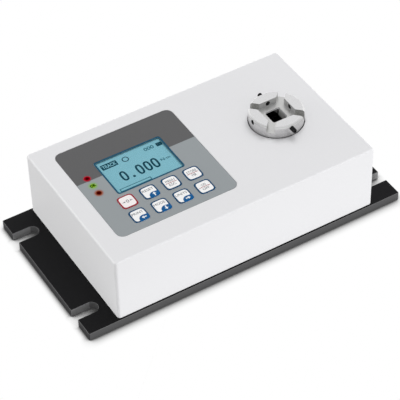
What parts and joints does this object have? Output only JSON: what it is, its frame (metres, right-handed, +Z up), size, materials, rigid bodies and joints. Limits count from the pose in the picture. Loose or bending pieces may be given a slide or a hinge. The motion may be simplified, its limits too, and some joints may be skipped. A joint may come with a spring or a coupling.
{
  "type": "torque tester",
  "caption": "Bench torque tester: white housing on a slotted black base plate, with a keypad and display panel and a cross-slotted adapter ring with clamp screws.",
  "frame": {"origin": "centre of the base plate's underside", "axes": "+X along the length from the keypad towards the adapter ring, -Y towards the front, +Z up"},
  "size_m": [0.306, 0.154, 0.0832],
  "materials": {
    "white_coat": "white powder coat",
    "black_coat": "black powder coat",
    "panel_print": "printed polyester",
    "clear_pane": "clear acrylic",
    "lcd": "liquid crystal glass",
    "key_plastic": "white moulded keys",
    "red_lens": "red lamp lens",
    "green_lens": "green lamp lens",
    "circuit_board": "green circuit board",
    "dark_plastic": "black moulded plastic",
    "nylon": "natural nylon",
    "ribbon": "grey ribbon cable",
    "cable_rubber": "black cable sheath",
    "zinc_steel": "zinc plated steel",
    "dome_metal": "stainless dome sheet",
    "turned_steel": "turned alloy steel",
    "polished_steel": "polished stainless steel",
    "black_oxide": "black oxide steel",
    "blue_sleeve": "blue shrink sleeve"
  },
  "bodies": {
    "tester": {"base_plate": "black_coat", "housing": "white_coat", "keypad_overlay": "panel_print", "display_window": "clear_pane", "lcd_glass": "lcd", "lcd_frame": "zinc_steel", "led_low": "red_lens", "led_ok": "green_lens", "led_high": "red_lens", "display_board": "circuit_board", "display_board_screw_1": "zinc_steel", "display_board_screw_2": "zinc_steel", "display_board_screw_3": "zinc_steel", "display_board_screw_4": "zinc_steel", "switch_sheet": "dome_metal", "main_board": "circuit_board", "board_support_1": "nylon", "board_support_2": "nylon", "board_support_3": "nylon", "board_support_4": "nylon", "buzzer": "dark_plastic", "main_header": "nylon", "display_header": "nylon", "display_ribbon": "ribbon", "usb_port": "zinc_steel", "power_jack": "dark_plastic", "battery_pack": "blue_sleeve", "battery_strap": "zinc_steel", "strap_screw_1": "zinc_steel", "strap_screw_2": "zinc_steel", "battery_lead": "cable_rubber", "torque_sensor": "turned_steel", "gauge_sleeve": "dark_plastic", "adapter_ring": "polished_steel", "housing_screw_1": "zinc_steel", "housing_screw_2": "zinc_steel", "housing_screw_3": "zinc_steel", "housing_screw_4": "zinc_steel", "sensor_screw_1": "zinc_steel", "sensor_screw_2": "zinc_steel", "sensor_screw_3": "zinc_steel", "sensor_screw_4": "zinc_steel", "adapter_screw_1": "zinc_steel", "adapter_screw_2": "zinc_steel", "adapter_screw_3": "zinc_steel", "adapter_screw_4": "zinc_steel", "sensor_cable": "cable_rubber"},
    "zero_key": {"key_zero": "key_plastic"},
    "reset_key": {"key_reset": "key_plastic"},
    "menu_key": {"key_menu": "key_plastic"},
    "store_key": {"key_store": "key_plastic"},
    "print_key": {"key_print": "key_plastic"},
    "mode_key": {"key_mode": "key_plastic"},
    "units_key": {"key_units": "key_plastic"},
    "power_key": {"key_power": "key_plastic"},
    "front_clamp": {"clamp_screw_front": "black_oxide"},
    "back_clamp": {"clamp_screw_back": "black_oxide"},
    "left_clamp": {"clamp_screw_left": "black_oxide"},
    "right_clamp": {"clamp_screw_right": "black_oxide"}
  },
  "joints": [
    {"name": "zero_key_press", "type": "slide", "parent": "tester", "child": "zero_key", "axis": [0, 0, 1], "range_m": [-0.0004, 0], "stiffness_N_per_m": 300, "springref_m": 0.002},
    {"name": "reset_key_press", "type": "slide", "parent": "tester", "child": "reset_key", "axis": [0, 0, 1], "range_m": [-0.0004, 0], "stiffness_N_per_m": 300, "springref_m": 0.002},
    {"name": "menu_key_press", "type": "slide", "parent": "tester", "child": "menu_key", "axis": [0, 0, 1], "range_m": [-0.0004, 0], "stiffness_N_per_m": 300, "springref_m": 0.002},
    {"name": "store_key_press", "type": "slide", "parent": "tester", "child": "store_key", "axis": [0, 0, 1], "range_m": [-0.0004, 0], "stiffness_N_per_m": 300, "springref_m": 0.002},
    {"name": "print_key_press", "type": "slide", "parent": "tester", "child": "print_key", "axis": [0, 0, 1], "range_m": [-0.0004, 0], "stiffness_N_per_m": 300, "springref_m": 0.002},
    {"name": "mode_key_press", "type": "slide", "parent": "tester", "child": "mode_key", "axis": [0, 0, 1], "range_m": [-0.0004, 0], "stiffness_N_per_m": 300, "springref_m": 0.002},
    {"name": "units_key_press", "type": "slide", "parent": "tester", "child": "units_key", "axis": [0, 0, 1], "range_m": [-0.0004, 0], "stiffness_N_per_m": 300, "springref_m": 0.002},
    {"name": "power_key_press", "type": "slide", "parent": "tester", "child": "power_key", "axis": [0, 0, 1], "range_m": [-0.0004, 0], "stiffness_N_per_m": 300, "springref_m": 0.002},
    {"name": "front_clamp_travel", "type": "slide", "parent": "tester", "child": "front_clamp", "axis": [0, 1, 0], "range_m": [-0.004, 0.007]},
    {"name": "back_clamp_travel", "type": "slide", "parent": "tester", "child": "back_clamp", "axis": [0, -1, 0], "range_m": [-0.004, 0.007]},
    {"name": "left_clamp_travel", "type": "slide", "parent": "tester", "child": "left_clamp", "axis": [1, 0, 0], "range_m": [-0.003, 0.0055]},
    {"name": "right_clamp_travel", "type": "slide", "parent": "tester", "child": "right_clamp", "axis": [-1, 0, 0], "range_m": [-0.003, 0.0055]}
  ]
}
